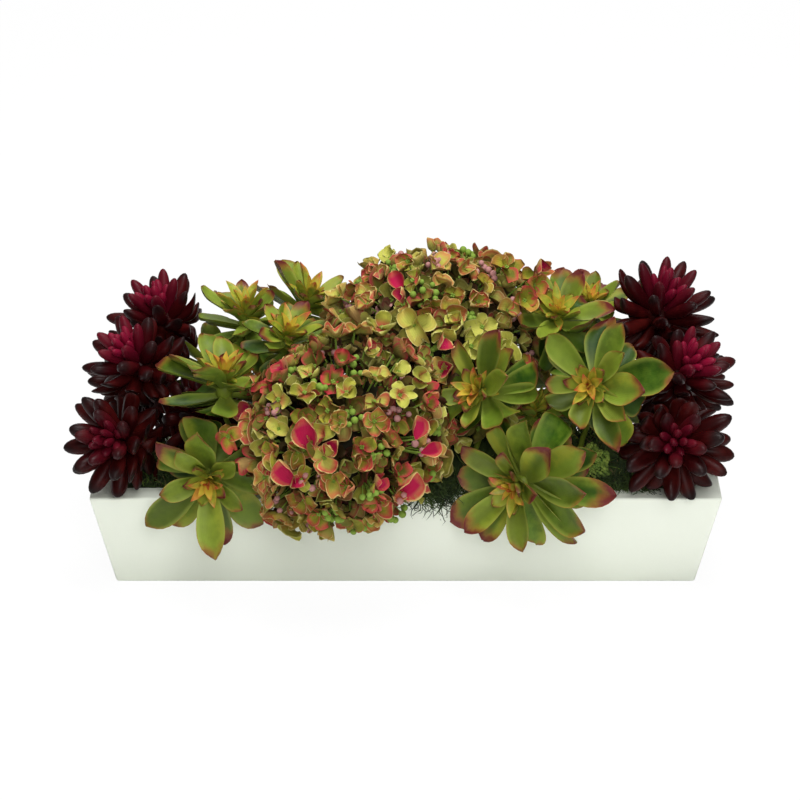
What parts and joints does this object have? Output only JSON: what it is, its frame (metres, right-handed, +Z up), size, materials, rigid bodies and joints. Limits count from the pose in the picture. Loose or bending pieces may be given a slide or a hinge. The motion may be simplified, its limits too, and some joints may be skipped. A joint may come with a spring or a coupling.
{
  "type": "hydrangea and succulent planter",
  "caption": "Long flared trough planter filled with moss, hydrangea heads, green rosettes and dark finger-leaved succulents at both ends.",
  "frame": {"origin": "middle of the trough's flat underside", "axes": "+X along the trough, to the right in the picture; -Y towards the front; +Z up"},
  "size_m": [0.652, 0.3581, 0.3051],
  "materials": {
    "trough_white": "satin off-white moulded plastic with a faint green tint",
    "floral_foam": "dull green dry foam",
    "dark_moss": "dark green preserved moss",
    "pale_lichen": "bright yellow-green preserved lichen",
    "hydrangea_petals": "olive and pink printed cloth petals with crimson edges",
    "plant_stem": "green moulded stem",
    "succulent_green": "soft green moulded leaves with paler edges and red-brown tips",
    "succulent_orange": "yellow to orange-red moulded leaves",
    "succulent_burgundy": "glossy dark burgundy moulded leaves",
    "succulent_magenta": "glossy crimson moulded leaves"
  },
  "bodies": {
    "root": {"trough": "trough_white", "foam_block": "floral_foam", "moss_mat": "dark_moss", "lichen_clump": "pale_lichen", "hydrangea_front_head": "hydrangea_petals", "hydrangea_front_stem": "plant_stem", "hydrangea_top_head": "hydrangea_petals", "hydrangea_top_stem": "plant_stem", "green_front_left_rosette": "succulent_green", "green_front_left_heart": "succulent_orange", "green_left_rosette": "succulent_green", "green_left_heart": "succulent_orange", "green_left_back_rosette": "succulent_green", "green_left_back_heart": "succulent_orange", "green_top_left_rosette": "succulent_green", "green_top_left_heart": "succulent_orange", "green_inner_left_rosette": "succulent_green", "green_inner_left_heart": "succulent_orange", "green_front_right_rosette": "succulent_green", "green_front_right_heart": "succulent_orange", "green_middle_rosette": "succulent_green", "green_middle_heart": "succulent_orange", "green_right_rosette": "succulent_green", "green_right_heart": "succulent_orange", "green_inner_right_rosette": "succulent_green", "green_inner_right_heart": "succulent_orange", "green_top_right_rosette": "succulent_green", "green_top_right_heart": "succulent_orange", "green_back_left_rosette": "succulent_green", "green_back_left_heart": "succulent_orange", "green_back_far_left_rosette": "succulent_green", "green_back_far_left_heart": "succulent_orange", "green_back_right_rosette": "succulent_green", "green_back_right_heart": "succulent_orange", "green_low_right_rosette": "succulent_green", "green_low_right_heart": "succulent_orange", "burgundy_left_front_succulent": "succulent_burgundy", "burgundy_left_front_heart": "succulent_magenta", "burgundy_left_middle_succulent": "succulent_burgundy", "burgundy_left_middle_heart": "succulent_magenta", "burgundy_left_top_succulent": "succulent_burgundy", "burgundy_left_top_heart": "succulent_magenta", "burgundy_left_back_succulent": "succulent_burgundy", "burgundy_left_back_heart": "succulent_magenta", "burgundy_low_left_succulent": "succulent_burgundy", "burgundy_low_left_heart": "succulent_magenta", "burgundy_right_front_succulent": "succulent_burgundy", "burgundy_right_front_heart": "succulent_magenta", "burgundy_right_middle_succulent": "succulent_burgundy", "burgundy_right_middle_heart": "succulent_magenta", "burgundy_right_top_succulent": "succulent_burgundy", "burgundy_right_top_heart": "succulent_magenta", "burgundy_right_back_succulent": "succulent_burgundy", "burgundy_right_back_heart": "succulent_magenta"}
  },
  "joints": []
}
